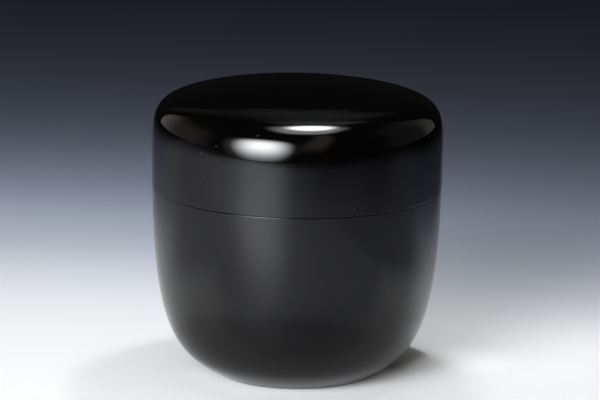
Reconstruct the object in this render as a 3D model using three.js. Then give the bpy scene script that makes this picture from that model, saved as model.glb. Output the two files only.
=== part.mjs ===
import * as THREE from 'three';

// Natsume tea caddy, turned in two pieces: a body with a raised inner lip, and a cap
// lid that slides over the lip and lands on the ledge round it. Both are bodies of
// revolution about Z. Millimetres, +Z up, with the origin on the surface that the
// caddy stands on, in the middle of its foot.

// Outside of the closed caddy
const lidDiameter = 74;
const bodyHeight = 48.25;
const skirtHeight = 12;
const shoulderHeight = 12.25;
const domeDiameter = 50.5;
const domeRise = 2.5;
const footDiameter = 40.7;
const lidOverhang = 0.15;

// Sweep of the body's side, from the foot up to the ledge
const footSlopeDegrees = 29.7;
const sideLeanDegrees = 0.8;
const footHandleShare = 0.688;
const sideHandleShare = 0.802;

// Fullness of the lid's shoulder
const shoulderFullnessShare = 0.8;

// Walls and floor
const lidWall = 2.2;
const crownThickness = 3;
const lipWall = 1.6;
const floorThickness = 3.6;

// Lip, and how the lid fits on it
const lipHeight = 8.5;
const lipClearance = 0.15;
const seatGap = 0.1;

// Foot ring and the shallow recess inside it
const footRingWidth = 2.2;
const footRecess = 0.8;

// Rounded edges and the corner at the bottom of the well
const edgeRound = 0.3;
const lipRound = 0.6;
const wellCornerHeight = 5;

// Colour and gloss of the black lacquer
const lacquerColour = 0x0c0b0b;
const lacquerRoughness = 0.12;

// Steps of the turned surfaces
const turnSteps = 80;
const sideSteps = 14;
const shoulderSteps = 9;
const domeSteps = 4;
const cornerSteps = 5;
const roundSteps = 3;

// Sizes that follow from the ones above
const lidRadius = lidDiameter / 2;
const ledgeRadius = lidRadius - lidOverhang;
const skirtInside = lidRadius - lidWall;
const lipOutside = skirtInside - lipClearance;
const lipInside = lipOutside - lipWall;
const mouthWall = ledgeRadius - lipInside;
const footRadius = footDiameter / 2;
const domeRadius = domeDiameter / 2;
const wellFloor = footRecess + floorThickness;
const lipTop = bodyHeight + lipHeight;

function at(radius, height) {
  return new THREE.Vector2(radius, height);
}

// A point at a distance from another, in a direction given in degrees above the horizontal
function towards(start, distance, degrees) {
  const angle = THREE.MathUtils.degToRad(degrees);
  return at(start.x + distance * Math.cos(angle), start.y + distance * Math.sin(angle));
}

// Points of a quarter round about a middle, starting at a direction in degrees
function quarterRound(middle, radius, startDegrees) {
  const start = THREE.MathUtils.degToRad(startDegrees);
  const arc = new THREE.EllipseCurve(
    middle.x, middle.y, radius, radius, start, start + Math.PI / 2);
  return arc.getPoints(roundSteps);
}

// The point inside a curve at the given wall from it, square to the curve
function pointInside(curve, share, wall) {
  const place = curve.getPoint(share);
  const along = curve.getTangent(share);
  return at(place.x - wall * along.y, place.y + wall * along.x);
}

// Points inside a curve, at a wall that changes evenly from its start to its end
function insideOf(curve, steps, startWall, endWall) {
  const points = [];
  for (let step = 0; step <= steps; step += 1) {
    const share = step / steps;
    points.push(pointInside(curve, share, THREE.MathUtils.lerp(startWall, endWall, share)));
  }
  return points;
}

// How far along a rising curve its inside reaches a height, found by halving
function shareAtHeight(curve, wall, height) {
  let below = 0;
  let above = 1;
  for (let halving = 0; halving < 40; halving += 1) {
    const middle = (below + above) / 2;
    if (pointInside(curve, middle, wall).y < height) {
      below = middle;
    } else {
      above = middle;
    }
  }
  return above;
}

// Outer side of the body: spreads low from the foot, then turns up to the ledge
function bodySide() {
  const foot = at(footRadius, 0);
  const top = at(ledgeRadius, bodyHeight - edgeRound);
  return new THREE.CubicBezierCurve(
    foot,
    towards(foot, footHandleShare * (ledgeRadius - footRadius), footSlopeDegrees),
    towards(top, sideHandleShare * bodyHeight, -90 - sideLeanDegrees),
    top);
}

// Foot: the recess, the cove round it and the flat ring that the caddy stands on
function footPoints() {
  const ringInside = footRadius - footRingWidth;
  const cove = quarterRound(at(ringInside - footRecess, 0), footRecess, 0);
  return [at(0, footRecess), ...cove.reverse()];
}

// Ledge and lip: the rounded ledge edge, the ledge, and the lip up, over and down
function lipPoints() {
  return [
    ...quarterRound(at(ledgeRadius - edgeRound, bodyHeight - edgeRound), edgeRound, 0),
    at(lipOutside, bodyHeight),
    ...quarterRound(at(lipOutside - lipRound, lipTop - lipRound), lipRound, 0),
    ...quarterRound(at(lipInside + lipRound, lipTop - lipRound), lipRound, 90),
  ];
}

// Well: the wall keeps the thickness it has at the mouth, then turns smoothly into
// a flat floor
function wellPoints(side) {
  const cornerTop = shareAtHeight(side, mouthWall, wellFloor + wellCornerHeight);
  const wall = [];
  for (let step = 0; step <= sideSteps; step += 1) {
    const share = THREE.MathUtils.lerp(1, cornerTop, step / sideSteps);
    wall.push(pointInside(side, share, mouthWall));
  }
  const wallFoot = wall.pop();
  const along = side.getTangent(cornerTop);
  const reach = (wallFoot.y - wellFloor) / along.y;
  const meeting = at(wallFoot.x - reach * along.x, wellFloor);
  const corner = new THREE.QuadraticBezierCurve(
    wallFoot, meeting, at(meeting.x - reach, wellFloor));
  return [...wall, ...corner.getPoints(cornerSteps), at(0, wellFloor)];
}

function bodySection() {
  const side = bodySide();
  const sidePoints = side.getPoints(sideSteps);
  sidePoints.pop();
  return [...footPoints(), ...sidePoints, ...lipPoints(), ...wellPoints(side)];
}

// Lid's shoulder, from the top of the straight skirt round to the edge of the dome,
// in the lid's own frame with its rim at zero
function shoulder(slope) {
  const skirtTop = at(lidRadius, skirtHeight);
  const domeEdge = at(domeRadius, skirtHeight + shoulderHeight);
  return new THREE.CubicBezierCurve(
    skirtTop,
    towards(skirtTop, shoulderFullnessShare * shoulderHeight, 90),
    towards(domeEdge, shoulderFullnessShare * (lidRadius - domeRadius), -slope),
    domeEdge);
}

// Shallow dome of the lid's top, an arc from its edge to the axis
function dome(sphere, lift) {
  const middle = skirtHeight + shoulderHeight + domeRise - sphere;
  const edge = Math.atan2(sphere - domeRise, domeRadius);
  return new THREE.EllipseCurve(
    0, middle, sphere - lift, sphere - lift, edge, Math.PI / 2).getPoints(domeSteps);
}

// Rim of the lid: from the inside of the skirt, round its lower edge, to the outside
function rimPoints() {
  return [
    ...quarterRound(at(skirtInside + edgeRound, edgeRound), edgeRound, 180),
    ...quarterRound(at(lidRadius - edgeRound, edgeRound), edgeRound, 270),
  ];
}

function lidSection() {
  const sphere = (domeRadius ** 2 + domeRise ** 2) / (2 * domeRise);
  const slope = THREE.MathUtils.radToDeg(Math.asin(domeRadius / sphere));
  const outerShoulder = shoulder(slope);
  const innerShoulder = insideOf(outerShoulder, shoulderSteps, lidWall, crownThickness);
  const outerDome = dome(sphere, 0);
  const innerDome = dome(sphere, crownThickness);
  innerShoulder.pop();
  outerDome.shift();
  return [
    ...innerDome.reverse(),
    ...innerShoulder.reverse(),
    ...rimPoints(),
    ...outerShoulder.getPoints(shoulderSteps),
    ...outerDome,
  ];
}

// Turns a section about the upright axis. Its first and last points lie on the axis.
function turned(name, section) {
  section[0].x = 0;
  section[section.length - 1].x = 0;
  const geometry = new THREE.LatheGeometry(section, turnSteps);
  geometry.rotateX(Math.PI / 2);
  const lacquer = new THREE.MeshStandardMaterial({
    color: lacquerColour,
    roughness: lacquerRoughness,
    metalness: 0,
  });
  const mesh = new THREE.Mesh(geometry, lacquer);
  mesh.name = name;
  return mesh;
}

const lid = turned('lid', lidSection());
lid.position.z = bodyHeight + seatGap;

const caddy = new THREE.Group();
caddy.add(turned('body', bodySection()), lid);

export default caddy;
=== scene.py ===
import math
from typing import NamedTuple

import bpy
import numpy as np
from bpy.props import FloatProperty, FloatVectorProperty, IntProperty, PointerProperty
from mathutils import Matrix, Vector


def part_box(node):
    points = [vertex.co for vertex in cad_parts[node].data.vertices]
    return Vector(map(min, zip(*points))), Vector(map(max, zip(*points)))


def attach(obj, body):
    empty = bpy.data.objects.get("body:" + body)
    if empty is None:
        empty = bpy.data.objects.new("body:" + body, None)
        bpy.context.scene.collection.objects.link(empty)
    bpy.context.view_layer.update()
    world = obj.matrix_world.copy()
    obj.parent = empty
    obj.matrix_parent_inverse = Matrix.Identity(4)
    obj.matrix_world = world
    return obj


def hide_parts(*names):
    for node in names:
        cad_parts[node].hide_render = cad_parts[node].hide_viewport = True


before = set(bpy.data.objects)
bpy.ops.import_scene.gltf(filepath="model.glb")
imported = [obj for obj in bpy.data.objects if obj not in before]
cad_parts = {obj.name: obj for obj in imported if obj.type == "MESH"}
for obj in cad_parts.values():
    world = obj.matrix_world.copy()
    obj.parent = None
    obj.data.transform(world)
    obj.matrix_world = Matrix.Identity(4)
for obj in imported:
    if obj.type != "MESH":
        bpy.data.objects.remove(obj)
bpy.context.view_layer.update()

bl_info = {
    "name": "Lacquered Tea Caddy",
    "version": (1, 0, 0),
    "blender": (4, 5, 0),
    "location": "3D View > Sidebar > Tea Caddy",
    "description": "Turned tea caddy in polished black lacquer, with a small photo studio",
    "category": "Add Mesh",
}

# Corners of the lid's and the body's box in the frame, in metres
lid_low, lid_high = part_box("lid")
_, body_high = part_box("body")

# Width of the picture in pixels, of the sensor in millimetres, and how far the camera
# sees in metres
IMAGE_WIDTH = 600.0
SENSOR_WIDTH = 36.0
FARTHEST_SEEN = 20.0

# How far below the crown the dust starts to gather
DUST_BELOW_CROWN = 0.006


def length(name, description, default):
    """A length that shows in the sidebar in scene units."""
    return FloatProperty(
        name=name, description=description, default=default, min=0.0,
        precision=5, unit="LENGTH")


def angle(name, description, degrees):
    """An angle that shows in the sidebar in degrees."""
    return FloatProperty(
        name=name, description=description, default=math.radians(degrees),
        subtype="ANGLE")


def share(name, description, default):
    """A share of some other size, from 0 to 1."""
    return FloatProperty(
        name=name, description=description, default=default, min=0.0, max=1.0,
        precision=4, subtype="FACTOR")


def level(name, description, default):
    """A plain number, such as a lamp's radiance, where 1 is white."""
    return FloatProperty(name=name, description=description, default=default, min=0.0)


def colour(name, description, default):
    """A linear colour."""
    return FloatVectorProperty(
        name=name, description=description, default=default, size=3,
        min=0.0, max=1.0, subtype="COLOR")


class CaddySizes(bpy.types.PropertyGroup):
    """Sizes of the two turned pieces."""

    lid_radius: length("Lid radius", "Radius of the lid's straight skirt", lid_high.x)
    rim_height: length("Rim height", "Height of the closed lid's rim", lid_low.z)
    crown_height: length("Crown height", "Height of the lid's crown", lid_high.z)
    skirt_height: length("Skirt height", "Straight part of the lid, from rim to shoulder", 0.012)
    dome_radius: length("Dome radius", "Radius of the edge of the shallow dome", 0.02525)
    dome_rise: length("Dome rise", "Height of the crown over the dome's edge", 0.0025)
    shoulder_fullness: share("Shoulder fullness", "How full the lid's shoulder is", 0.8)
    lid_wall: length("Lid wall", "Thickness of the lid's skirt", 0.0022)
    crown_thickness: length("Crown thickness", "Thickness of the lid's top", 0.003)
    ledge_radius: length("Ledge radius", "Radius of the body at the ledge", body_high.x)
    seat_gap: length("Seat gap", "Gap between the ledge and the lid's rim", 0.0001)
    lip_top: length("Lip top", "Height of the top of the inner lip", body_high.z)
    lip_clearance: length("Lip clearance", "Gap between the lip and the lid's skirt", 0.00015)
    lip_wall: length("Lip wall", "Thickness of the inner lip", 0.0016)
    foot_radius: length("Foot radius", "Radius of the foot's outer edge", 0.02035)
    foot_ring_width: length("Foot ring width", "Width of the flat ring of the foot", 0.0022)
    foot_recess: length("Foot recess", "Depth of the recess inside the foot ring", 0.0008)
    floor_thickness: length("Floor thickness", "Thickness of the body's floor", 0.0036)
    well_corner: length("Well corner", "Height over which wall turns into floor", 0.005)
    foot_slope: angle("Foot slope", "Slope of the side where it leaves the foot", 29.7)
    side_lean: angle("Side lean", "Lean of the body's side at the ledge", 0.8)
    foot_handle: share("Foot handle", "Reach of the foot's curve over the flare", 0.688)
    side_handle: share("Side handle", "Reach of the side's curve over the height", 0.802)
    edge_round: length("Edge round", "Rounding of the rim and of the ledge's edge", 0.00014)
    lip_round: length("Lip round", "Rounding of the lip's top edges", 0.0006)
    foot_edge_round: length("Foot edge round", "Rounding of the foot's outer edge", 0.0003)
    turn_steps: IntProperty(
        name="Turn steps", description="Steps round the axis", default=256, min=16)


class LacquerLook(bpy.types.PropertyGroup):
    """Colours and finish of the lacquer."""

    black: colour("Black", "Colour of the black lacquer", (0.0005, 0.0005, 0.0005))
    thin_brown: colour("Thin brown", "Colour where the coat is thin", (0.020, 0.0085, 0.0040))
    dust: colour("Dust", "Colour of the dust specks", (0.14, 0.137, 0.128))
    gloss: share("Gloss roughness", "Roughness of the polished outside", 0.035)
    inside_gloss: share("Inside roughness", "Roughness of the inside", 0.13)
    foot_gloss: share("Foot roughness", "Roughness of the underside", 0.24)
    index: level("Refractive index", "Refractive index of the lacquer", 1.5)
    wave_length: length("Wave length", "Distance between the polish's faint waves", 0.016)
    wave_height: length("Wave height", "Height of the polish's faint waves", 0.0000018)
    dust_height: length(
        "Dust height", "Height over which dust gathers", lid_high.z - DUST_BELOW_CROWN)
    speck_spacing: length("Speck spacing", "Width of the cells that hold one speck", 0.0024)
    speck_size: length("Speck size", "Largest radius of a dust speck", 0.00011)


class StudioSetup(bpy.types.PropertyGroup):
    """Camera, floor and lights."""

    camera_distance: length("Camera distance", "How far in front the camera stands", 0.925)
    camera_height: length("Camera height", "Height of the camera", 0.2600)
    camera_pitch: angle("Camera pitch", "How far the camera looks down", 13.12073)
    camera_yaw: angle("Camera yaw", "How far the camera looks to the right", 0.051566)
    camera_roll: angle("Camera roll", "How far the camera is rolled", 0.933921)
    focal_pixels: FloatProperty(
        name="Focal length in pixels", description="Focal length over a pixel's width",
        default=3720.9, min=1.0)
    paper_white: colour("Paper white", "Paper round the caddy", (0.800, 0.803, 0.832))
    paper_dark: colour("Paper dark", "Back of the paper", (0.004, 0.004, 0.007))
    back_half: FloatVectorProperty(
        name="Back half", description="Where each channel of the back is half dark",
        default=(0.133, 0.140, 0.158), size=3, unit="LENGTH")
    back_power: level("Back power", "How suddenly the back of the paper fades", 2.85)
    # Painted shade: the back of the paper darkens sooner on the right
    back_turn: FloatProperty(
        name="Back turn", description="How far the fade comes nearer to the right",
        default=0.14)
    # Painted shade of the paper past the picture's edges, at the front and the sides
    near_tone: share("Near tone", "Tone of the paper just in front of the picture", 0.585)
    front_edge: length("Front edge", "Where the picture ends in front", 0.031)
    front_turn: FloatProperty(
        name="Front turn", description="How far that end comes nearer to the right",
        default=0.053)
    front_half: length("Front half", "Further way in front at which it is half dark", 0.20)
    front_end: length("Front end", "Where the paper's front edge starts to darken", 0.21)
    end_half: length("End half", "Further way at which the front edge is half dark", 0.10)
    side_edge: length("Side edge", "Where the picture ends at the sides", 0.0795)
    side_spread: FloatProperty(
        name="Side spread", description="How much wider it gets towards the back",
        default=0.08)
    left_half: length("Left half", "Further way to the left at which it is half dark", 0.90)
    right_half: length("Right half", "Further way to the right at which it is half dark", 0.20)
    paper_roughness: share("Paper roughness", "Roughness of the paper's sheen", 0.42)
    paper_gloss: share("Paper gloss", "Strength of the paper's sheen", 0.095)
    key_level: level("Key", "Radiance of the front left softbox", 24.5)
    halo_level: level("Key halo", "Radiance of the faint halo round the key", 1.3)
    top_level: level("Overhead", "Radiance of the overhead softbox", 23.0)
    top_fill: level("Overhead fill", "Radiance of the small lamp under the overhead", 145.0)
    top_height: length("Overhead height", "Height of the overhead softbox", 0.33)
    skirt_level: level("Skirt", "Radiance of the soft cloth round the overhead", 3.8)
    fill_level: level("Fill", "Even light of the room on matt things", 0.43)
    fill_tint: colour("Fill tint", "Colour of the room's even light", (1.0, 0.98, 0.92))
    room_level: level("Room", "Radiance of the dark room in reflections", 0.0065)


WHITE = (1.0, 1.0, 1.0)


class Number:
    """A number socket. Sums, products and powers of it add the Math nodes they need."""

    def __init__(self, sheet, socket):
        self.sheet = sheet
        self.socket = socket

    def __add__(self, other):
        return self.sheet.maths("ADD", self, other)

    def __radd__(self, other):
        return self.sheet.maths("ADD", other, self)

    def __sub__(self, other):
        return self.sheet.maths("SUBTRACT", self, other)

    def __rsub__(self, other):
        return self.sheet.maths("SUBTRACT", other, self)

    def __mul__(self, other):
        return self.sheet.maths("MULTIPLY", self, other)

    def __rmul__(self, other):
        return self.sheet.maths("MULTIPLY", other, self)

    def __truediv__(self, other):
        return self.sheet.maths("DIVIDE", self, other)

    def __rtruediv__(self, other):
        return self.sheet.maths("DIVIDE", other, self)

    def __pow__(self, other):
        return self.sheet.maths("POWER", self, other)

    def __neg__(self):
        return self.sheet.maths("MULTIPLY", self, -1.0)

    def __abs__(self):
        return self.sheet.maths("ABSOLUTE", self)

    def at_least(self, other):
        """The greater of two numbers."""
        return self.sheet.maths("MAXIMUM", self, other)

    def at_most(self, other):
        """The lesser of two numbers."""
        return self.sheet.maths("MINIMUM", self, other)

    def step(self, low, high):
        """Smooth step: 0 where the number is at low, 1 at high, with soft ends."""
        settings = {"interpolation_type": "SMOOTHSTEP"}
        values = {"Value": self, "From Min": low, "From Max": high}
        return self.sheet.add("ShaderNodeMapRange", settings, values).number("Result")


class Node:
    """A node of a material, with its outputs as numbers or plain sockets."""

    def __init__(self, sheet, node):
        self.sheet = sheet
        self.node = node

    def number(self, output=0):
        """An output, by its name or place, to reckon with."""
        return Number(self.sheet, self.node.outputs[output])

    def out(self, output=0):
        """The socket of an output, by its name or place."""
        return self.node.outputs[output]


class NodeSheet:
    """The node tree of a material or a world, emptied and ready to fill."""

    def __init__(self, owner):
        owner.use_nodes = True
        self.tree = owner.node_tree
        self.tree.nodes.clear()

    def add(self, kind, settings=None, sockets=()):
        """Adds a node of a kind, sets its settings first, then sets or links its sockets."""
        node = self.tree.nodes.new(kind)
        for key, value in (settings or {}).items():
            setattr(node, key, value)
        named = sockets.items() if isinstance(sockets, dict) else enumerate(sockets)
        for key, value in named:
            self.feed(node.inputs[key], value)
        return Node(self, node)

    def feed(self, target, value):
        """Links a socket to another socket, or sets its value."""
        if isinstance(value, Number):
            value = value.socket
        if isinstance(value, bpy.types.NodeSocket):
            self.tree.links.new(value, target)
        else:
            target.default_value = value

    def maths(self, operation, *values):
        """Result of a Math node."""
        return self.add("ShaderNodeMath", {"operation": operation}, values).number()

    def place(self):
        """Object coordinates."""
        return self.add("ShaderNodeTexCoord").out("Object")

    def axes(self, vector):
        """The X, Y and Z of a vector, as numbers."""
        parts = self.add("ShaderNodeSeparateXYZ", None, [vector])
        return [parts.number(name) for name in ("X", "Y", "Z")]

    def noise(self, vector, size, detail=2.0):
        """Smooth noise from 0 to 1 whose bumps are about size across."""
        values = {"Vector": vector, "Scale": 1.0 / size, "Detail": detail}
        return self.add("ShaderNodeTexNoise", None, values).number()

    def blend(self, factor, first, second):
        """Colour that goes from first to second as the factor goes from 0 to 1."""
        node = self.add("ShaderNodeMix", {"data_type": "RGBA"})
        for name, value in (("Factor", factor), ("A", first), ("B", second)):
            wanted = "VALUE" if name == "Factor" else "RGBA"
            target = next(
                s for s in node.node.inputs if s.name == name and s.type == wanted)
            self.feed(target, value)
        return next(s for s in node.node.outputs if s.type == "RGBA")


def opaque(rgb):
    """A colour with its alpha."""
    return (*rgb, 1.0)


def eased(steps):
    """Shares from 0 to 1 that crowd towards both ends, by half a cosine wave."""
    return (1.0 - np.cos(np.linspace(0.0, np.pi, steps + 1))) / 2.0


def even(steps):
    """Shares from 0 to 1 in even steps."""
    return np.linspace(0.0, 1.0, steps + 1)


def straight(start, end, steps):
    """Points on a straight line, start + t (end - start), crowded towards its ends."""
    t = eased(steps)[:, None]
    return np.asarray(start) + t * (np.asarray(end) - np.asarray(start))


def arc(middle, radius, first, last, steps):
    """Points on a circle's arc, middle + radius (cos a, sin a), a in degrees."""
    a = np.radians(first + (last - first) * even(steps))
    return np.stack([middle[0] + radius * np.cos(a), middle[1] + radius * np.sin(a)], 1)


def away(start, distance, turn):
    """The point at a distance from start, in the direction of an angle in radians."""
    return np.array([
        start[0] + distance * math.cos(turn), start[1] + distance * math.sin(turn)])


class Bend:
    """A cubic curve of four corners, with weights (1-t)^3, 3t(1-t)^2, 3t^2(1-t), t^3."""

    def __init__(self, *corners):
        self.corners = np.array(corners, float)

    def points(self, t):
        """Points of the curve: the sum of its corners, each times its weight."""
        t = np.asarray(t)[:, None]
        a, b, c, d = self.corners
        return (1 - t) ** 3 * a + 3 * t * (1 - t) ** 2 * b + 3 * t ** 2 * (1 - t) * c + t ** 3 * d

    def tangents(self, t):
        """Unit directions of the curve, from the derivative of its points."""
        t = np.asarray(t)[:, None]
        a, b, c, d = self.corners
        along = 3 * (1 - t) ** 2 * (b - a) + 6 * t * (1 - t) * (c - b) + 3 * t ** 2 * (d - c)
        return along / np.linalg.norm(along, axis=1)[:, None]

    def inside(self, t, wall):
        """Points at a wall's distance to the left of the curve, square to it."""
        along = self.tangents(t)
        left = np.stack([-along[:, 1], along[:, 0]], 1)
        return self.points(t) + np.asarray(wall).reshape(-1, 1) * left


def quadratic(start, corner, end, steps):
    """Points of the curve (1-t)^2 start + 2t(1-t) corner + t^2 end."""
    t = even(steps)[:, None]
    return (1 - t) ** 2 * start + 2 * t * (1 - t) * corner + t ** 2 * end


# Points of a section that are closer than this, in metres, are one point
SAME_POINT = 1e-9


def join_stretches(stretches):
    """One section from stretches of points, and the surface of each gap between points.

    A stretch is (points, surface). Its first point is dropped where it repeats the
    last point of the stretch before.
    """
    points, surfaces = [stretches[0][0][0]], []
    for stretch, surface in stretches:
        for place in stretch:
            if np.linalg.norm(place - points[-1]) > SAME_POINT:
                points.append(place)
                surfaces.append(surface)
    return np.array(points), np.array(surfaces)


def turned_mesh(name, section, surfaces, steps):
    """Mesh of a section turned about the upright axis.

    The surface is (r(s) cos a, r(s) sin a, z(s)) for a point s of the section and an
    angle a. The section starts and ends on the axis, where a ring shrinks to one point.
    """
    rings = section[1:-1]
    a = np.linspace(0.0, 2.0 * np.pi, steps, endpoint=False)
    x = rings[:, :1] * np.cos(a)
    y = rings[:, :1] * np.sin(a)
    z = np.repeat(rings[:, 1:], steps, axis=1)
    first = np.array([[0.0, 0.0, section[0, 1]]])
    last = np.array([[0.0, 0.0, section[-1, 1]]])
    vertices = np.concatenate([first, np.stack([x, y, z], -1).reshape(-1, 3), last])

    here = np.arange(steps)
    after = (here + 1) % steps
    start = 1 + steps * np.arange(len(rings) - 1)[:, None]
    quads = np.stack(
        [start + here, start + after, start + steps + after, start + steps + here], -1)
    top_ring = 1 + steps * (len(rings) - 1)
    opening = np.stack([np.zeros(steps, int), 1 + after, 1 + here], 1)
    closing = np.stack(
        [top_ring + here, top_ring + after, np.full(steps, len(vertices) - 1)], 1)
    faces = opening.tolist() + quads.reshape(-1, 4).tolist() + closing.tolist()

    mesh = bpy.data.meshes.new(name)
    mesh.from_pydata(vertices.tolist(), [], faces)
    mesh.polygons.foreach_set("material_index", np.repeat(surfaces, steps).astype(np.int32))
    mesh.polygons.foreach_set("use_smooth", np.ones(len(faces), bool))
    mesh.update()
    return mesh


# Surfaces of a section, in the order of the lacquer's finishes
OUTSIDE, INSIDE, UNDERSIDE = range(3)

# Steps of the sections' stretches, fine where light shows them
FLAT_STEPS = 16
LEDGE_STEPS = 8
LIP_STEPS = 12
ROUND_STEPS = 8
FOOT_STEPS = 10
FOOT_ROUND_STEPS = 6
SIDE_STEPS = 120
WELL_STEPS = 60
WELL_CORNER_STEPS = 24
SKIRT_STEPS = 20
SHOULDER_STEPS = 90
HOLLOW_STEPS = 56
CEILING_STEPS = 20
DOME_STEPS = 50
SEARCH_STEPS = 400


def body_stretches(size):
    """Stretches of the body's section, from the middle of its underside to its floor."""
    ledge = size.rim_height - size.seat_gap
    lip_out = size.lid_radius - size.lid_wall - size.lip_clearance
    lip_in = lip_out - size.lip_wall
    mouth_wall = size.ledge_radius - lip_in
    floor = size.foot_recess + size.floor_thickness
    ring_in = size.foot_radius - size.foot_ring_width
    cove_in = ring_in - size.foot_recess

    foot = np.array([size.foot_radius, 0.0])
    top = np.array([size.ledge_radius, ledge - size.edge_round])
    flare = size.ledge_radius - size.foot_radius
    side = Bend(
        foot,
        away(foot, size.foot_handle * flare, size.foot_slope),
        away(top, size.side_handle * ledge, -math.pi / 2 - size.side_lean),
        top)

    t = even(SEARCH_STEPS)
    heights = side.inside(t, mouth_wall)[:, 1]
    corner_share = float(np.interp(floor + size.well_corner, heights, t))
    wall_foot = side.inside([corner_share], mouth_wall)[0]
    along = side.tangents([corner_share])[0]
    reach = (wall_foot[1] - floor) / along[1]
    meeting = np.array([wall_foot[0] - reach * along[0], floor])
    floor_edge = np.array([meeting[0] - reach, floor])

    round_start = foot - np.array([size.foot_edge_round, 0.0])
    round_share = size.foot_edge_round / np.linalg.norm(side.corners[1] - foot) / 3
    round_end = side.points([round_share])[0]
    down = size.edge_round
    lip_round = size.lip_round
    round_low = size.lip_top - lip_round
    return [
        (straight([0.0, size.foot_recess], [cove_in, size.foot_recess], FLAT_STEPS),
         UNDERSIDE),
        (arc([cove_in, 0.0], size.foot_recess, 90, 0, FOOT_STEPS), UNDERSIDE),
        (straight([ring_in, 0.0], round_start, FOOT_STEPS), UNDERSIDE),
        (quadratic(round_start, foot, round_end, FOOT_ROUND_STEPS), OUTSIDE),
        (side.points(round_share + (1 - round_share) * eased(SIDE_STEPS)), OUTSIDE),
        (arc([size.ledge_radius - down, ledge - down], down, 0, 90, ROUND_STEPS), OUTSIDE),
        (straight([size.ledge_radius - down, ledge], [lip_out, ledge], LEDGE_STEPS), INSIDE),
        (straight([lip_out, ledge], [lip_out, round_low], LIP_STEPS), INSIDE),
        (arc([lip_out - lip_round, round_low], lip_round, 0, 90, ROUND_STEPS), INSIDE),
        (arc([lip_in + lip_round, round_low], lip_round, 90, 180, ROUND_STEPS), INSIDE),
        (straight([lip_in, round_low], [lip_in, ledge], LIP_STEPS), INSIDE),
        (side.inside(1 - (1 - corner_share) * even(WELL_STEPS), mouth_wall), INSIDE),
        (quadratic(wall_foot, meeting, floor_edge, WELL_CORNER_STEPS), INSIDE),
        (straight(floor_edge, [0.0, floor], FLAT_STEPS), INSIDE),
    ]


def lid_stretches(size):
    """Stretches of the lid's section, from the middle of its ceiling to its crown."""
    rim = size.rim_height
    skirt_top = np.array([size.lid_radius, rim + size.skirt_height])
    dome_edge = np.array([size.dome_radius, size.crown_height - size.dome_rise])
    sphere = (size.dome_radius ** 2 + size.dome_rise ** 2) / (2 * size.dome_rise)
    slope = math.asin(size.dome_radius / sphere)
    middle = [0.0, size.crown_height - sphere]
    edge = 90 - math.degrees(slope)
    shoulder = Bend(
        skirt_top,
        away(skirt_top, size.shoulder_fullness * (dome_edge[1] - skirt_top[1]), math.pi / 2),
        away(dome_edge, size.shoulder_fullness * (skirt_top[0] - dome_edge[0]), -slope),
        dome_edge)

    t = even(HOLLOW_STEPS)
    walls = size.lid_wall + (size.crown_thickness - size.lid_wall) * t
    skirt_in = size.lid_radius - size.lid_wall
    down = size.edge_round
    ceiling = arc(middle, sphere - size.crown_thickness, 90, edge, CEILING_STEPS)
    return [
        (ceiling, INSIDE),
        (shoulder.inside(t, walls)[::-1], INSIDE),
        (straight([skirt_in, skirt_top[1]], [skirt_in, rim + down], FLAT_STEPS), INSIDE),
        (arc([skirt_in + down, rim + down], down, 180, 270, ROUND_STEPS), INSIDE),
        (straight([skirt_in + down, rim], [size.lid_radius - down, rim], LEDGE_STEPS), INSIDE),
        (arc([size.lid_radius - down, rim + down], down, -90, 0, ROUND_STEPS), OUTSIDE),
        (straight([size.lid_radius, rim + down], skirt_top, SKIRT_STEPS), OUTSIDE),
        (shoulder.points(even(SHOULDER_STEPS)), OUTSIDE),
        (arc(middle, sphere, edge, 90, DOME_STEPS), OUTSIDE),
    ]


# Dust: size of its clusters, spans of noise and chance over which specks appear, and
# shares of cells that hold one on the level top and on the upright side. Most specks are
# small, because their size goes with a power of chance.
DUST_CLUSTER = 0.011
DUST_CLUSTER_SPAN = (0.45, 0.65)
DUST_EDGE = 0.002
TOP_SPECK_SHARE = 0.45
SIDE_SPECK_SHARE = 0.06
CHANCE_SOFTNESS = 0.02
SMALLEST_SPECK_SHARE = 0.35
SPECK_SIZE_POWER = 3.0
SPECK_EDGE_SHARE = 0.3
SPECK_HEIGHT = 0.00001
SPECK_ROUGHNESS = 0.35


def specks_on(sheet, across, along, share_of_cells, look):
    """Mask of round specks on a flat sheet of cells, of which only a share holds one.

    It is 1 where a point is nearer to its cell's middle than the speck's radius.
    """
    place = sheet.add("ShaderNodeCombineXYZ", None, [across, along, 0.0]).out()
    cells = sheet.add(
        "ShaderNodeTexVoronoi", {"feature": "F1", "voronoi_dimensions": "2D"},
        {"Vector": place, "Scale": 1.0 / look.speck_spacing, "Randomness": 1.0})
    chance = sheet.axes(cells.out("Color"))
    distance = cells.number("Distance") * look.speck_spacing
    larger = (1.0 - SMALLEST_SPECK_SHARE) * chance[0] ** SPECK_SIZE_POWER
    radius = look.speck_size * (SMALLEST_SPECK_SHARE + larger)
    none_below = 1.0 - share_of_cells
    present = chance[1].step(none_below, none_below + CHANCE_SOFTNESS)
    soft = SPECK_EDGE_SHARE * look.speck_size
    return (radius - distance).step(-soft, soft) * present


def dust_specks(sheet, place, look):
    """Dust: clusters of specks on the level top, and a few on the upright side."""
    x, y, z = sheet.axes(place)
    clusters = sheet.noise(place, DUST_CLUSTER, detail=1.0).step(*DUST_CLUSTER_SPAN)
    upper = z.step(look.dust_height - DUST_EDGE, look.dust_height)
    top = specks_on(sheet, x, y, TOP_SPECK_SHARE, look) * clusters * upper
    round_the_side = sheet.maths("ARCTAN2", y, x) * lid_high.x
    side = specks_on(sheet, round_the_side, z, SIDE_SPECK_SHARE, look) * (1.0 - upper)
    return top + side


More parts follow.
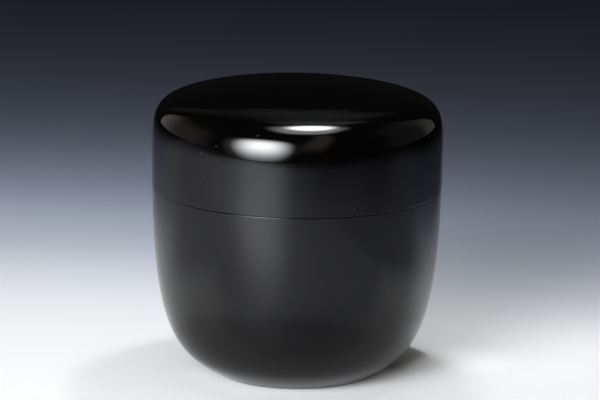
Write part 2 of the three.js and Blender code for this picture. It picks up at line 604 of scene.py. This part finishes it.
# Polish: sizes of its smears and tones in metres, with the detail of their noise, and
# the hairlines that run round with the turning, as lines per metre
SMEAR_SIZE = 0.009
SMEAR_DETAIL = 4.0
SMEAR_SPAN = (0.45, 0.75)
SMEAR_ROUGHNESS_SHARES = (0.85, 0.35)
TONE_SIZE = 0.02
TONE_DETAIL = 3.0
BROWN_SHARE = 0.02
HAIRLINES_PER_METRE = 9000.0
HAIRLINE_WANDER = 2.0
HAIRLINE_SPAN = (0.62, 0.78)

# Finishes in the order outside, inside and underside: the material's name, which of the
# look's roughnesses it has, and its amounts of dust, waves and hairlines
FINISHES = (
    ("lacquer_outside", "gloss", 1.0, 1.0, 0.01),
    ("lacquer_inside", "inside_gloss", 0.3, 2.0, 0.05),
    ("lacquer_underside", "foot_gloss", 0.5, 2.0, 0.20),
)


def lacquer(name, look, roughness, dust_amount, wave_amount, hairline_amount):
    """Polished lacquer: a deep black coat, faint waves, smears, hairlines and dust."""
    material = bpy.data.materials.new(name)
    material.diffuse_color = opaque(look.black)
    sheet = NodeSheet(material)
    place = sheet.place()
    x, y, z = sheet.axes(place)
    radius = (x * x + y * y) ** 0.5

    waves = sheet.noise(place, look.wave_length, detail=1.0)
    smears = sheet.noise(place, SMEAR_SIZE, SMEAR_DETAIL).step(*SMEAR_SPAN)
    tone = sheet.noise(place, TONE_SIZE, TONE_DETAIL)
    specks = dust_specks(sheet, place, look) * dust_amount

    rings = sheet.add("ShaderNodeCombineXYZ", None, [
        radius * HAIRLINES_PER_METRE, z * HAIRLINES_PER_METRE, tone * HAIRLINE_WANDER]).out()
    hairlines = sheet.noise(rings, size=1.0).step(*HAIRLINE_SPAN)

    coat = sheet.blend(tone * BROWN_SHARE, opaque(look.black), opaque(look.thin_brown))
    base = sheet.blend(specks, coat, opaque(look.dust))
    polished, smeared = SMEAR_ROUGHNESS_SHARES
    rough = (
        roughness * (polished + smeared * smears) + SPECK_ROUGHNESS * specks
        + hairline_amount * hairlines)
    height = waves * (look.wave_height * wave_amount) + specks * SPECK_HEIGHT
    bump = sheet.add(
        "ShaderNodeBump", None, {"Strength": 1.0, "Distance": 1.0, "Height": height}).out()
    shader = sheet.add(
        "ShaderNodeBsdfPrincipled", None,
        {"Base Color": base, "Roughness": rough, "IOR": look.index, "Normal": bump}).out()
    sheet.add("ShaderNodeOutputMaterial", None, [shader])
    return material


def lacquer_set(look):
    """The three finishes of a piece, in the order outside, inside and underside."""
    for name, gloss, *amounts in FINISHES:
        if name not in bpy.data.materials:
            lacquer(name, look, getattr(look, gloss), *amounts)
    return [bpy.data.materials[row[0]] for row in FINISHES]


def add_piece(context, name, mesh, body, node):
    """Puts a mesh in the scene as a piece that rides on a body and stands for a node."""
    for material in lacquer_set(context.scene.caddy_look):
        mesh.materials.append(material)
    piece = bpy.data.objects.new(name, mesh)
    context.scene.collection.objects.link(piece)
    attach(piece, body)
    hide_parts(node)
    return piece


class CADDY_OT_turn_body(bpy.types.Operator):
    """Turns the body: foot ring, flaring side, ledge, inner lip and well"""

    bl_idname = "caddy.turn_body"
    bl_label = "Turn Body"

    def execute(self, context):
        size = context.scene.caddy_sizes
        section, surfaces = join_stretches(body_stretches(size))
        mesh = turned_mesh("caddy_body", section, surfaces, size.turn_steps)
        add_piece(context, "caddy_body", mesh, "body", "body")
        return {"FINISHED"}


class CADDY_OT_turn_lid(bpy.types.Operator):
    """Turns the lid: skirt, shoulder, shallow dome and the hollow under them"""

    bl_idname = "caddy.turn_lid"
    bl_label = "Turn Lid"

    def execute(self, context):
        size = context.scene.caddy_sizes
        section, surfaces = join_stretches(lid_stretches(size))
        mesh = turned_mesh("caddy_lid", section, surfaces, size.turn_steps)
        add_piece(context, "caddy_lid", mesh, "lid", "lid")
        return {"FINISHED"}


def stage_plane(context, name, matrix, across, up, material):
    """A flat rectangle of the studio, in the X and Y of its matrix and facing its Z."""
    left, right = across
    low, high = up
    corners = [(left, low, 0.0), (right, low, 0.0), (right, high, 0.0), (left, high, 0.0)]
    mesh = bpy.data.meshes.new(name)
    mesh.from_pydata(corners, [], [(0, 1, 2, 3)])
    mesh.materials.append(material)
    plane = bpy.data.objects.new(name, mesh)
    plane.matrix_world = matrix
    context.scene.collection.objects.link(plane)
    return plane


def falloff(way, half, power):
    """Curve 1 / (1 + (way / half)^power): 1 where the way is below 0, and 1/2 at half."""
    return 1.0 / (1.0 + (way.at_least(0.0) / half) ** power)


def edge_fade(way, span, drop, start, half, power):
    """Tone past an edge, which drops over a span and then fades from its start on.

    It is (1 - drop step(way)) / (1 + ((way - start) / half)^power).
    """
    return (1.0 - drop * way.step(*span)) * falloff(way - start, half, power)


def window(value, start, full, fall, end):
    """Smooth window: 0 before start, 1 from full to fall, and 0 again after end."""
    return value.step(start, full) * (1.0 - value.step(fall, end))


def disc(x, y, middle, full, radius):
    """Soft disc: 1 within the full radius about a middle, and 0 from the outer radius on."""
    away_x, away_y = x - middle[0], y - middle[1]
    return 1.0 - ((away_x * away_x + away_y * away_y) ** 0.5).step(full, radius)


# How far the paper reaches to each side, in metres
PAPER_REACH = 4.0

# Places on the paper are in metres, with the caddy's axis at zero, the camera at -Y and
# right at +X. A span is where a change starts and where it is complete. A share is how
# much of the tone the change adds or takes away.
# Painted light inside the picture: close to the caddy the paper is a little lighter on the right
# and darker on the left, and further back it is lighter in a band, more so on the left and only
# where it is seen directly
LEAN_SPAN = (-0.09, 0.09)
LEAN_SHARE = 0.04
NEAR_SPAN = (0.02, 0.12)
BAND_WINDOW = (0.12, 0.18, 0.22, 0.31)
BAND_SHARE = 0.17
BAND_LEAN_SHARES = (0.75, 0.25)

# Painted light and shade on the paper in soft discs: lighter beside the caddy on the right,
# darker in its shadow further back, and lighter past the foot's wedge. A row holds the
# middle, radius within which it is full, outer radius, and share
PAINTED_LIGHT_AND_SHADE_DISCS = (
    ((0.060, 0.020), 0.015, 0.060, 0.07),
    ((0.050, 0.110), 0.010, 0.080, -0.13),
    ((0.043, 0.010), 0.004, 0.018, 0.12),
)

# Painted shade past the picture's edges: span and share of the first drop, and start and
# power of the slow fade after it
BESIDE_SPAN = (0.0, 0.06)
BESIDE_RADIUS_SPAN = (0.13, 0.24)
LEFT_SPAN = (0.0, 0.05)
LEFT_SHARE = 0.30
LEFT_START = 0.02
LEFT_POWER = 1.0
RIGHT_SPAN = (-0.005, 0.055)
RIGHT_SHARE = 0.60
RIGHT_BESIDE_SHARES = (0.35, 0.65)
RIGHT_START = 0.11
RIGHT_POWER = 1.3
FRONT_SPAN = (-0.004, 0.036)
FRONT_LEAN_SHARE = 0.08
FRONT_START = 0.10
FRONT_POWER = 1.6
END_SLANT = 0.35
END_POWER = 3.0

# Painted shade in the front corners far from the caddy: side, spans sideways and forwards, and
# share
FAR_SPAN = (0.21, 0.33)
FRONT_CORNERS = (
    (1.0, (0.02, 0.12), (0.05, 0.12), 0.58),
    (-1.0, (0.05, 0.15), (0.13, 0.22), 0.30),
)

# Shadow of the caddy under the overhead light, as the disc it fills. Past the picture's
# front edge it is painted darker, and all over it is painted a little lighter, more so on
# the right
SHADOW_MIDDLE = (-0.0045, -0.0155)
SHADOW_RADII = (0.047, 0.0535)
SHADOW_AHEAD_SPAN = (0.0, 0.010)
SHADOW_AHEAD_SHARE = 0.17
SHADOW_LIFT_SHARES = (0.06, 0.10)
SHADOW_LIFT_SPAN = (0.012, 0.038)

# Close to the foot, painted light and shade: the paper darker where the body reflects it,
# a painted bright rim in front of the foot that lifts its contact shadow, and a painted
# dark wedge of shadow to the right of it
MIRRORED_MIDDLE = (0.012, 0.015)
MIRRORED_RADII = (0.050, 0.110)
MIRRORED_SPAN = (-0.025, 0.030)
MIRRORED_FOOT_SPAN = (0.0205, 0.0285)
MIRRORED_SHARE = 0.42
RIM_SPAN = (0.0215, 0.0330)
RIM_AHEAD_SPAN = (-0.004, 0.008)
RIM_SHARE = 0.16
WEDGE_SLANT = 0.47
WEDGE_SLANT_SPAN = (0.0245, 0.0305)
WEDGE_RADIUS_SPAN = (0.0368, 0.0388)
WEDGE_RIGHT_SPAN = (0.010, 0.020)
WEDGE_BACK_SPAN = (-0.006, 0.004)
WEDGE_SHARE = 0.66

# How fast red, green and blue follow the painted shade past the picture's edges, and how
# the sheen grows in front of the caddy
CHANNEL_POWERS = (1.03, 1.0, 0.87)
SHEEN_SHARES = (0.25, 0.75)
SHEEN_SPAN = (0.03, 0.13)


class PaperPlace:
    """Where a point of the paper is, as numbers of its material.

    Its lean goes from -1 on the left to 1 on the right. It is ahead by its distance past
    the picture's front edge. Mirrored is 1 where the paper is seen in a reflection, and
    shadow is 1 in the caddy's shadow under the overhead light.
    """

    def __init__(self, sheet, studio):
        self.x, self.y, _ = sheet.axes(sheet.place())
        self.radius = (self.x * self.x + self.y * self.y) ** 0.5
        self.lean = 2.0 * self.x.step(*LEAN_SPAN) - 1.0
        self.ahead = studio.front_turn * self.x - self.y - studio.front_edge
        self.mirrored = sheet.add("ShaderNodeLightPath").number("Is Glossy Ray")
        self.shadow = disc(self.x, self.y, SHADOW_MIDDLE, *SHADOW_RADII)


def painted_picture_light_and_shade(at):
    """Painted light and shade inside the picture: 1, with a slight lean, lighter and darker soft
    discs, and a lighter band.
    """
    near = 1.0 - at.y.step(*NEAR_SPAN)
    tone = 1.0 + LEAN_SHARE * at.lean * near
    for middle, full, radius, amount in PAINTED_LIGHT_AND_SHADE_DISCS:
        tone = tone * (1.0 + amount * disc(at.x, at.y, middle, full, radius))
    everywhere, leaning = BAND_LEAN_SHARES
    band = window(at.y, *BAND_WINDOW) * (everywhere - leaning * at.lean)
    return tone * (1.0 + BAND_SHARE * band * (1.0 - at.mirrored))


def painted_border_shade(at, studio):
    """Painted shade past the picture's edges: the least of left, right and front, then the
    corners.

    The picture gets wider towards the back, and the drop at its sides is held back
    beside and behind the caddy, where it would show as a reflection.
    """
    edge = studio.side_edge + studio.side_spread * at.y
    around = 1.0 - at.radius.step(*BESIDE_RADIUS_SPAN)
    beside = 1.0 - at.y.step(*BESIDE_SPAN) * around
    left = edge_fade(
        -at.x - edge, LEFT_SPAN, LEFT_SHARE * beside, LEFT_START, studio.left_half, LEFT_POWER)
    everywhere, only_beside = RIGHT_BESIDE_SHARES
    right_drop = RIGHT_SHARE * (everywhere + only_beside * beside)
    right = edge_fade(
        at.x - edge, RIGHT_SPAN, right_drop, RIGHT_START, studio.right_half, RIGHT_POWER)
    front_drop = 1.0 - studio.near_tone + FRONT_LEAN_SHARE * at.lean
    front = edge_fade(
        at.ahead, FRONT_SPAN, front_drop, FRONT_START, studio.front_half, FRONT_POWER)

    tone = left.at_most(right).at_most(front)
    in_shadow = at.shadow * at.ahead.step(*SHADOW_AHEAD_SPAN)
    tone = tone * (1.0 - SHADOW_AHEAD_SHARE * in_shadow)
    past_end = END_SLANT * at.x.at_most(0.0) - at.y - studio.front_end
    tone = tone * falloff(past_end, studio.end_half, END_POWER)
    far = at.radius.step(*FAR_SPAN)
    for side, sideways, forwards, amount in FRONT_CORNERS:
        corner = (side * at.x).step(*sideways) * (-at.y).step(*forwards) * far
        tone = tone * (1.0 - amount * corner)
    return tone


def painted_foot_light_and_shade(at):
    """Painted light and shade close to the foot: lifted shadow, darker paper in reflections,
    bright rim over the contact shadow, dark wedge of shadow.
    """
    everywhere, only_right = SHADOW_LIFT_SHARES
    lift = everywhere + only_right * at.x.step(*SHADOW_LIFT_SPAN)
    in_front = 1.0 - at.y.step(*MIRRORED_SPAN)
    close = disc(at.x, at.y, MIRRORED_MIDDLE, *MIRRORED_RADII) * in_front
    darker = close * at.radius.step(*MIRRORED_FOOT_SPAN) * at.mirrored
    rim = (1.0 - at.radius.step(*RIM_SPAN)) * (-at.y).step(*RIM_AHEAD_SPAN)
    wedge_shadow = 1.0 - (at.x - WEDGE_SLANT * at.y).step(*WEDGE_SLANT_SPAN)
    wedge_shadow = wedge_shadow * (1.0 - at.radius.step(*WEDGE_RADIUS_SPAN))
    wedge_shadow = wedge_shadow * at.x.step(*WEDGE_RIGHT_SPAN) * at.y.step(*WEDGE_BACK_SPAN)
    tone = (1.0 + at.shadow * lift) * (1.0 - MIRRORED_SHARE * darker)
    return tone * (1.0 + RIM_SHARE * rim) * (1.0 - WEDGE_SHARE * wedge_shadow)


def graded_paper(studio):
    """Half-matt paper, white round the caddy, that fades to dark blue-grey behind it.

    Each channel fades towards the back with its own half distance, and as painted shade
    a little nearer on the right. Past the picture's edges it is dimmer, as painted shade,
    and bluer with the distance. Inside the picture and round the foot it carries painted
    light and shade.
    Its sheen is weaker close to the caddy. It is clear from below, so that the caddy's
    underside can be looked at.
    """
    material = bpy.data.materials.new("graded_paper")
    sheet = NodeSheet(material)
    at = PaperPlace(sheet, studio)
    tone = painted_picture_light_and_shade(at) * painted_foot_light_and_shade(at)
    border = painted_border_shade(at, studio)
    channels = []
    for white, dark, half, power in zip(
            studio.paper_white, studio.paper_dark, studio.back_half, CHANNEL_POWERS):
        back = falloff(at.y + studio.back_turn * at.x, half, studio.back_power)
        channels.append(dark + (white - dark) * tone * back * border ** power)
    tint = sheet.add("ShaderNodeCombineColor", None, channels).out()
    matt = sheet.add(
        "ShaderNodeBsdfPrincipled", None,
        {"Base Color": tint, "Roughness": 1.0, "Specular IOR Level": 0.0}).out()
    sheen = sheet.add(
        "ShaderNodeBsdfGlossy", None,
        {"Color": opaque(WHITE), "Roughness": studio.paper_roughness}).out()
    least, more = SHEEN_SHARES
    gloss = studio.paper_gloss * (least + more * at.ahead.step(*SHEEN_SPAN))
    paper = sheet.add("ShaderNodeMixShader", None, [gloss, matt, sheen]).out()
    clear = sheet.add("ShaderNodeBsdfTransparent").out()
    below = sheet.add("ShaderNodeNewGeometry").out("Backfacing")
    shown = sheet.add("ShaderNodeMixShader", None, [below, paper, clear]).out()
    sheet.add("ShaderNodeOutputMaterial", None, [shown])
    return material


class Softbox(NamedTuple):
    """A clear panel that shines from an oval on its front, in metres.

    It stands at its place and faces its aim. Across and up are its edges, and middle and
    radii (across, up and down) are those of the oval in its X and Y. The light is even
    within a share of the radii and then fades. A power over 2 makes the oval squarer.
    The camera never sees it, and neither do the rays that it is hidden from.
    """

    name: str
    place: tuple
    aim: tuple
    radiance: float
    tint: tuple
    across: tuple
    up: tuple
    middle: tuple
    radii: tuple
    even_share: float
    power: float
    hidden_from: str = ""


KEY_AZIMUTH = -27.5
KEY_DISTANCE = 0.50
KEY_HEIGHT = 0.200
HALO_BEHIND_KEY = 0.02
OVERHEAD_AIM = (0.0, -0.03, 0.07)
SKIRT_ABOVE_OVERHEAD = 0.001
LAMP_PLACE = (0.0125, 0.043, 0.227)
LAMP_RADIUS = 0.016


def scaled(shares, size):
    """Lengths from the shares of a size."""
    return tuple(part * size for part in shares)


def above(place, height):
    """The point at a height over a place."""
    return (place[0], place[1], place[2] + height)


def softboxes(studio):
    """The studio's lights: front left key with its halo, overhead with skirt and lamp."""
    high = studio.top_height
    key_aim = (0.0, 0.0, KEY_HEIGHT)
    return (
        Softbox(
            name="key_softbox",
            place=spot(KEY_AZIMUTH, KEY_DISTANCE, KEY_HEIGHT), aim=key_aim,
            radiance=studio.key_level, tint=(0.98, 0.99, 1.0),
            across=(-0.265, 0.265), up=(-0.232, 0.250),
            middle=(0.002, -0.008), radii=(0.254, 0.246, 0.220),
            even_share=0.09, power=2.5),
        Softbox(
            name="key_halo",
            place=spot(KEY_AZIMUTH, KEY_DISTANCE + HALO_BEHIND_KEY, KEY_HEIGHT), aim=key_aim,
            radiance=studio.halo_level, tint=(0.96, 0.98, 1.0),
            across=(-0.330, 0.385), up=(-0.275, 0.305),
            middle=(0.028, 0.0), radii=(0.350, 0.300, 0.270),
            even_share=0.20, power=2.5, hidden_from="diffuse"),
        Softbox(
            name="overhead_softbox",
            place=above(OVERHEAD_AIM, high), aim=OVERHEAD_AIM,
            radiance=studio.top_level, tint=WHITE,
            across=scaled((-0.30, 0.15), high), up=scaled((-0.05, 0.65), high),
            middle=scaled((-0.085, 0.28), high), radii=scaled((0.20, 0.36, 0.33), high),
            even_share=0.33, power=2.0, hidden_from="diffuse"),
        Softbox(
            name="overhead_skirt",
            place=above(OVERHEAD_AIM, high + SKIRT_ABOVE_OVERHEAD), aim=OVERHEAD_AIM,
            radiance=studio.skirt_level, tint=(0.97, 0.98, 1.0),
            across=scaled((-0.44, 0.28), high), up=scaled((-0.48, 0.61), high),
            middle=scaled((-0.08, 0.0), high), radii=scaled((0.35, 0.60, 0.47), high),
            even_share=0.42, power=2.5, hidden_from="diffuse"),
        Softbox(
            name="overhead_lamp",
            place=LAMP_PLACE, aim=(LAMP_PLACE[0], LAMP_PLACE[1], 0.0),
            radiance=studio.top_fill, tint=(0.94, 0.99, 1.0),
            across=(-LAMP_RADIUS, LAMP_RADIUS), up=(-LAMP_RADIUS, LAMP_RADIUS),
            middle=(0.0, 0.0), radii=(LAMP_RADIUS, LAMP_RADIUS, LAMP_RADIUS),
            even_share=0.35, power=2.0, hidden_from="glossy"),
    )


def oval(x, y, box):
    """Shape of a softbox's light: 1 within its even share, and 0 at its radii.

    The distance from the middle is (across^power + up^power)^(1/power).
    """
    middle_x, middle_y = box.middle
    reach, rise, fall = box.radii
    across = abs((x - middle_x) / reach)
    up = ((y - middle_y) / rise).at_least((middle_y - y) / fall)
    distance = (across ** box.power + up ** box.power) ** (1.0 / box.power)
    return 1.0 - distance.step(box.even_share, 1.0)


def soft_light(box):
    """Light of a softbox, which shines from its front only.

    Elsewhere the panel is clear, so that it hides nothing of the room behind it.
    """
    material = bpy.data.materials.new(box.name)
    sheet = NodeSheet(material)
    x, y, _ = sheet.axes(sheet.place())
    front = 1.0 - sheet.add("ShaderNodeNewGeometry").number("Backfacing")
    light = sheet.add(
        "ShaderNodeEmission", None,
        {"Color": opaque(box.tint), "Strength": box.radiance}).out()
    clear = sheet.add("ShaderNodeBsdfTransparent").out()
    both = sheet.add("ShaderNodeAddShader", None, [light, clear]).out()
    lit = oval(x, y, box) * front
    shown = sheet.add("ShaderNodeMixShader", None, [lit, clear, both]).out()
    sheet.add("ShaderNodeOutputMaterial", None, [shown])
    return material


# Upward share of a panel's direction past which it counts as looking up or down
NEARLY_UPRIGHT = 0.99


def facing(place, target):
    """Matrix at a place whose Z points to the target and whose Y points up.

    The Y of a panel that looks up or down points to the back instead.
    """
    z = (Vector(target) - Vector(place)).normalized()
    up = Vector((0.0, 0.0, 1.0)) if abs(z.z) < NEARLY_UPRIGHT else Vector((0.0, 1.0, 0.0))
    x = up.cross(z).normalized()
    y = z.cross(x)
    turn = Matrix((x, y, z)).transposed().to_4x4()
    return Matrix.Translation(Vector(place)) @ turn


def spot(azimuth, distance, height):
    """Place at a distance from the axis. Azimuth 0 is in front, and 90 to the right."""
    turn = math.radians(azimuth)
    return (distance * math.sin(turn), -distance * math.cos(turn), height)


# Cards of the dark room as seen from the caddy. Where they overlap, their light adds up.
# Angles are in degrees, and azimuth 0 is in front and 90 to the right. A row holds the
# azimuth of the card's middle, how far the middle moves per degree of elevation, the
# azimuths from the middle and the elevations at which the card starts, is full, starts
# to fade and ends, how far its sides droop per degree from the middle, its radiance and
# its tint.
CARDS = (
    (-106, 0.0, (-36, -34, 14, 40), (-25, -10, 15, 46), 0.0, 0.19, (1.00, 0.97, 0.92)),
    (-130, 0.0, (-13, -10, -5, 16), (-12, 2, 20, 39), 0.0, 0.20, (1.00, 0.96, 0.84)),
    (105, 0.0, (-40, -15, 34, 37), (-25, -10, 38, 60), 0.0, 0.065, (1.00, 1.00, 1.00)),
    (130, 0.0, (-14, -2, 9, 12), (-10, 3, 8, 45), 0.0, 0.145, (1.00, 0.97, 0.90)),
    (180, 0.0, (-14, -8, 20, 32), (33.5, 35, 38, 52), 0.6, 0.024, (0.92, 0.97, 1.00)),
    (179, 0.0, (-14, -2, 0, 10), (32, 36, 60, 80), 0.3, 0.050, (0.92, 0.97, 1.00)),
    (174, 0.0, (-17, -6, 2, 18), (41, 50, 60, 74), 0.0, 0.22, (0.95, 0.98, 1.00)),
    (8, 0.38, (-17, -4, 4, 14), (0, 20, 52, 72), 0.0, 0.34, (1.00, 0.88, 0.76)),
    (0, 0.0, (-181, -181, 181, 181), (15, 45, 90, 91), 0.0, 0.032, (0.93, 0.99, 1.00)),
    (-40, 0.0, (-200, -20, 20, 200), (-91, -90, -40, -8), 0.0, 3.2, (1.00, 1.00, 1.00)),
)

# How much the even light on matt things grows towards the left and the front
FILL_LEFT_SHARE = 0.65
FILL_FRONT_SHARE = 0.25


def dark_room(context, studio):
    """World of the studio: nearly black, with a few dim cards round the caddy.

    Matt things see an even light instead, a little stronger from the front left.
    """
    world = context.scene.world or bpy.data.worlds.new("room")
    context.scene.world = world
    world.cycles.sampling_method = "NONE"
    sheet = NodeSheet(world)
    x, y, z = sheet.axes(sheet.place())
    azimuth = sheet.maths("ARCTAN2", x, -y) * math.degrees(1.0)
    elevation = sheet.maths("ARCSINE", z) * math.degrees(1.0)
    seen = [studio.room_level] * 3
    for middle, lean, across, up, droop, radiance, tint in CARDS:
        turn = sheet.maths("WRAP", azimuth - middle - elevation * lean, 180.0, -180.0)
        card = window(turn, *across) * window(elevation + abs(turn) * droop, *up) * radiance
        seen = [channel + card * tone for channel, tone in zip(seen, tint)]
    mirrored = sheet.add("ShaderNodeLightPath").number("Is Glossy Ray")
    fill = (1.0 - FILL_LEFT_SHARE * x - FILL_FRONT_SHARE * y) * studio.fill_level
    shown = [
        fill * tone + (channel - fill * tone) * mirrored
        for channel, tone in zip(seen, studio.fill_tint)]
    colour_of_room = sheet.add("ShaderNodeCombineColor", None, shown).out()
    room = sheet.add(
        "ShaderNodeBackground", None, {"Color": colour_of_room, "Strength": 1.0}).out()
    sheet.add("ShaderNodeOutputWorld", None, [room])


def camera_matrix(studio):
    """Camera's matrix from its place, pitch, yaw and roll."""
    yaw, pitch, roll = studio.camera_yaw, studio.camera_pitch, studio.camera_roll
    ahead = Vector((
        math.sin(yaw) * math.cos(pitch), math.cos(yaw) * math.cos(pitch), -math.sin(pitch)))
    level_right = Vector((math.cos(yaw), -math.sin(yaw), 0.0))
    level_up = level_right.cross(ahead)
    right = math.cos(roll) * level_right + math.sin(roll) * level_up
    up = math.cos(roll) * level_up - math.sin(roll) * level_right
    turn = Matrix((right, up, -ahead)).transposed().to_4x4()
    place = Vector((0.0, -studio.camera_distance, studio.camera_height))
    return Matrix.Translation(place) @ turn


class CADDY_OT_set_studio(bpy.types.Operator):
    """Sets up the graded paper, the softboxes and cards, and the camera"""

    bl_idname = "caddy.set_studio"
    bl_label = "Set Up Studio"

    def execute(self, context):
        studio = context.scene.caddy_studio
        reach = (-PAPER_REACH, PAPER_REACH)
        stage_plane(
            context, "paper", Matrix.Identity(4), reach, reach, graded_paper(studio))
        for box in softboxes(studio):
            panel = stage_plane(
                context, box.name, facing(box.place, box.aim), box.across, box.up,
                soft_light(box))
            panel.visible_camera = False
            panel.visible_diffuse = box.hidden_from != "diffuse"
            panel.visible_glossy = box.hidden_from != "glossy"
        dark_room(context, studio)

        lens = bpy.data.cameras.new("camera")
        lens.sensor_width = SENSOR_WIDTH
        lens.sensor_fit = "HORIZONTAL"
        lens.lens = studio.focal_pixels * SENSOR_WIDTH / IMAGE_WIDTH
        lens.clip_end = FARTHEST_SEEN
        camera = bpy.data.objects.new("camera", lens)
        camera.matrix_world = camera_matrix(studio)
        context.scene.collection.objects.link(camera)
        context.scene.camera = camera
        context.scene.view_settings.view_transform = "Standard"
        return {"FINISHED"}


class VIEW3D_PT_caddy(bpy.types.Panel):
    """Sizes, finish and studio of the tea caddy"""

    bl_label = "Tea Caddy"
    bl_space_type = "VIEW_3D"
    bl_region_type = "UI"
    bl_category = "Tea Caddy"

    def draw(self, context):
        scene = context.scene
        for title, group in (
                ("Sizes", scene.caddy_sizes), ("Lacquer", scene.caddy_look),
                ("Studio", scene.caddy_studio)):
            box = self.layout.box()
            box.label(text=title)
            for name in group.bl_rna.properties.keys():
                if name not in ("rna_type", "name"):
                    box.prop(group, name)
        for operator in (CADDY_OT_turn_body, CADDY_OT_turn_lid, CADDY_OT_set_studio):
            self.layout.operator(operator.bl_idname)


CLASSES = (
    CaddySizes, LacquerLook, StudioSetup, CADDY_OT_turn_body, CADDY_OT_turn_lid,
    CADDY_OT_set_studio, VIEW3D_PT_caddy)


def register():
    """Registers the classes, and gives each scene the caddy's sizes, look and studio."""
    for cls in CLASSES:
        bpy.utils.register_class(cls)
    bpy.types.Scene.caddy_sizes = PointerProperty(type=CaddySizes)
    bpy.types.Scene.caddy_look = PointerProperty(type=LacquerLook)
    bpy.types.Scene.caddy_studio = PointerProperty(type=StudioSetup)


def unregister():
    """Undoes register."""
    del bpy.types.Scene.caddy_studio
    del bpy.types.Scene.caddy_look
    del bpy.types.Scene.caddy_sizes
    for cls in reversed(CLASSES):
        bpy.utils.unregister_class(cls)


def main():
    """Registers the classes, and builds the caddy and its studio."""
    register()
    bpy.ops.caddy.turn_body()
    bpy.ops.caddy.turn_lid()
    bpy.ops.caddy.set_studio()
    bpy.context.view_layer.update()


if __name__ == "__main__":
    main()
